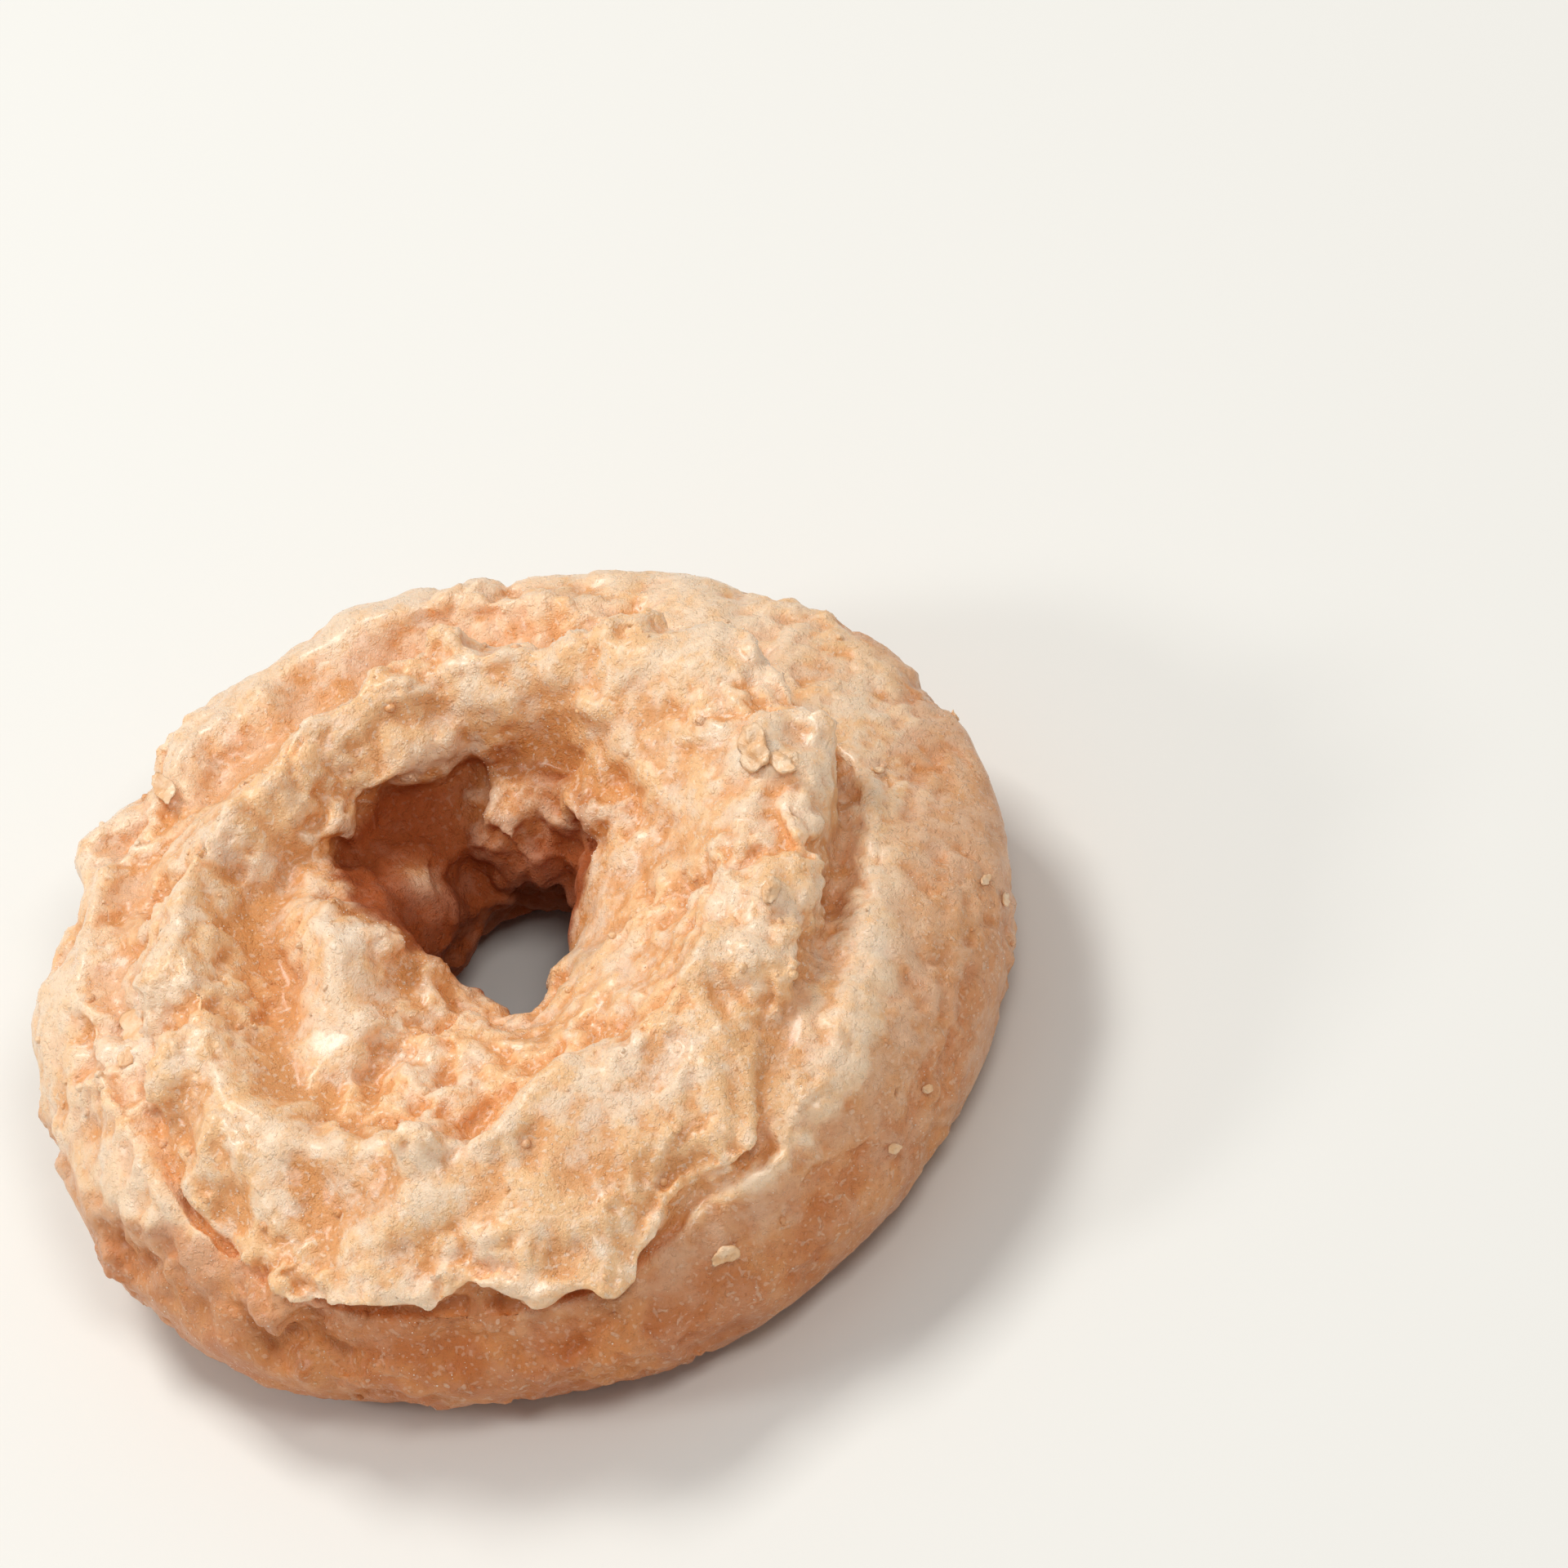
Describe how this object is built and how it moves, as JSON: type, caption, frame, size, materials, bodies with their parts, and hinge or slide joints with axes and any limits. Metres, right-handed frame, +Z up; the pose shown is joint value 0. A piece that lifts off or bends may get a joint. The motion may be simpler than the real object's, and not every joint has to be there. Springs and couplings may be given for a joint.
{
  "type": "old fashioned doughnut",
  "caption": "Uneven ring of fried cake dough: a torn, craggy crown over a smooth brown base, a crack round the top and a small ragged hole, under a thin dried glaze.",
  "frame": {"origin": "on the plane that the doughnut rests on, under the middle of its bounding box", "axes": "+Z up along the hole, +Y away from the side that the picture is taken from, +X to the right seen from that side"},
  "size_m": [0.0925, 0.0916, 0.0335],
  "materials": {
    "crust": "fried cake dough, pale on the crags and brown in the cracks and on the base, satin under a thin dried sugar glaze"
  },
  "bodies": {
    "root": {"doughnut": "crust"}
  },
  "joints": []
}
